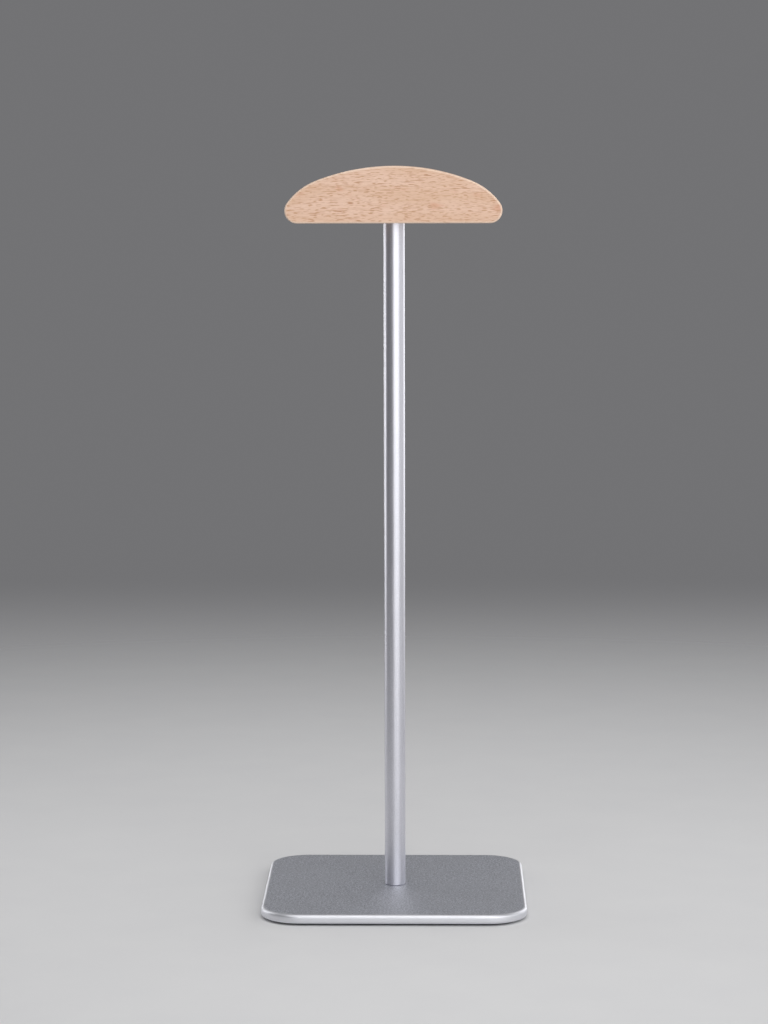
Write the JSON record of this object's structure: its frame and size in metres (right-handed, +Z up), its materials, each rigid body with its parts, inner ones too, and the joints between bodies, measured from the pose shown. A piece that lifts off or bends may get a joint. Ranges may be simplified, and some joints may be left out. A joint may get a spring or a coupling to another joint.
{
  "type": "headphone stand",
  "caption": "Table stand that holds headphones by the band: square metal plate, slim round pole and arched wooden cradle that screws onto the pole.",
  "frame": {"origin": "middle of the pad's underside, on the surface that the stand rests on", "axes": "+Z up along the pole, X along the cradle's long side, -Y towards the front"},
  "size_m": [0.1, 0.1, 0.2805],
  "materials": {
    "plate_metal": "bead-blasted and clear anodised",
    "pole_metal": "drawn bar, satin anodised",
    "beech": "sanded and matt oiled",
    "silicone": "matt",
    "adhesive_film": "translucent film",
    "zinc_steel": "bright zinc plated",
    "brass": "turned and knurled"
  },
  "bodies": {
    "stand": {"base_plate": "plate_metal", "pad_adhesive": "adhesive_film", "base_pad": "silicone", "base_screw": "zinc_steel", "pole": "pole_metal"},
    "stud": {"cradle_stud": "zinc_steel"},
    "cradle": {"cradle": "beech", "cradle_insert": "brass"}
  },
  "joints": [
    {"name": "cradle_turn", "type": "hinge", "parent": "stand", "child": "stud", "pos_m": [0, 0, 0.2593], "axis": [0, 0, 1], "range_deg": [0, 4410]},
    {"name": "cradle_rise", "type": "slide", "parent": "stud", "child": "cradle", "axis": [0, 0, 1], "range_m": [0, 0.0098]}
  ],
  "couplings": [
    {"joint": "cradle_rise", "follows": "cradle_turn", "m_per_rad": 0.00012732}
  ]
}
